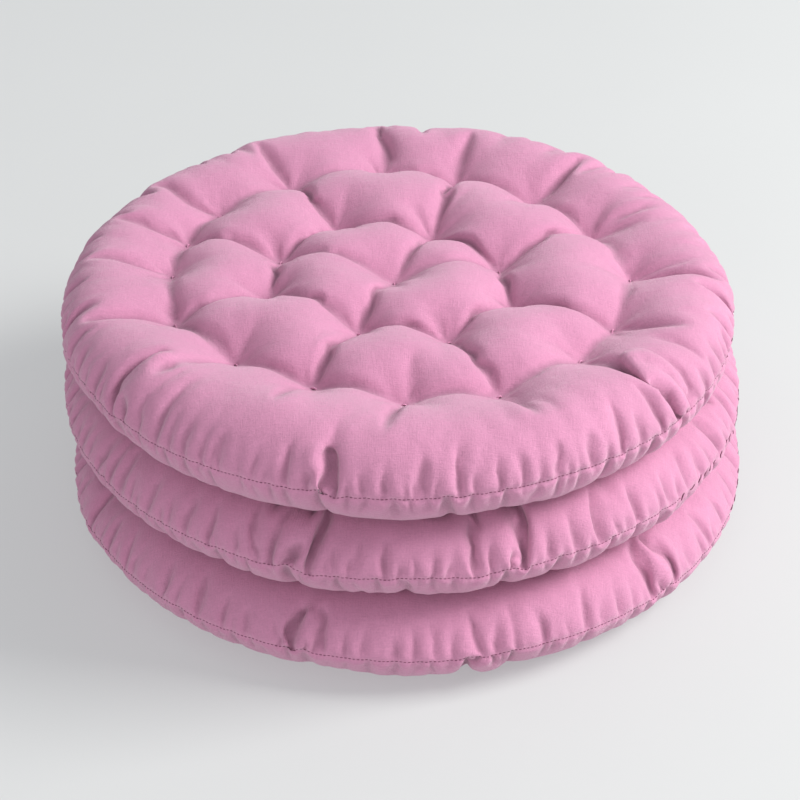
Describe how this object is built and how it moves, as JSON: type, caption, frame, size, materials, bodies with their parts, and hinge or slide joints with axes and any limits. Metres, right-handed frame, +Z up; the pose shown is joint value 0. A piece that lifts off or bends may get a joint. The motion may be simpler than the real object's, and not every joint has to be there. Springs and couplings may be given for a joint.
{
  "type": "tufted floor cushion stack",
  "caption": "Stack of round tufted cotton floor cushions with a knife-edge seam, deep thread tufts and a soft fibre filling; each cushion lifts off the one below.",
  "frame": {"origin": "on the floor under the middle of the stack", "axes": "+Z up through the middle of all the cushions; +Y away from the side that is seen in the picture"},
  "size_m": [0.6, 0.6, 0.2406],
  "materials": {
    "cover_fabric": "matte woven cotton, mauve pink",
    "fibre_fill": "matte white fibre",
    "tuft_thread": "matte waxed thread, plum",
    "sewing_thread": "satin sewing thread, dark plum"
  },
  "bodies": {
    "bottom_cushion": {"bottom_upper_panel": "cover_fabric", "bottom_lower_panel": "cover_fabric", "bottom_filling": "fibre_fill", "bottom_seam_thread": "sewing_thread", "bottom_closing_thread": "sewing_thread", "bottom_centre_tie": "tuft_thread", "bottom_inner_ring_ties": "tuft_thread", "bottom_outer_ring_ties": "tuft_thread"},
    "middle_cushion": {"middle_upper_panel": "cover_fabric", "middle_lower_panel": "cover_fabric", "middle_filling": "fibre_fill", "middle_seam_thread": "sewing_thread", "middle_closing_thread": "sewing_thread", "middle_centre_tie": "tuft_thread", "middle_inner_ring_ties": "tuft_thread", "middle_outer_ring_ties": "tuft_thread"},
    "top_cushion": {"top_upper_panel": "cover_fabric", "top_lower_panel": "cover_fabric", "top_filling": "fibre_fill", "top_seam_thread": "sewing_thread", "top_closing_thread": "sewing_thread", "top_centre_tie": "tuft_thread", "top_inner_ring_ties": "tuft_thread", "top_outer_ring_ties": "tuft_thread"}
  },
  "joints": [
    {"name": "middle_lifts_off", "type": "slide", "parent": "bottom_cushion", "child": "middle_cushion", "axis": [0, 0, 1], "range_m": [0, 0.25]},
    {"name": "top_lifts_off", "type": "slide", "parent": "middle_cushion", "child": "top_cushion", "axis": [0, 0, 1], "range_m": [0, 0.25]}
  ]
}
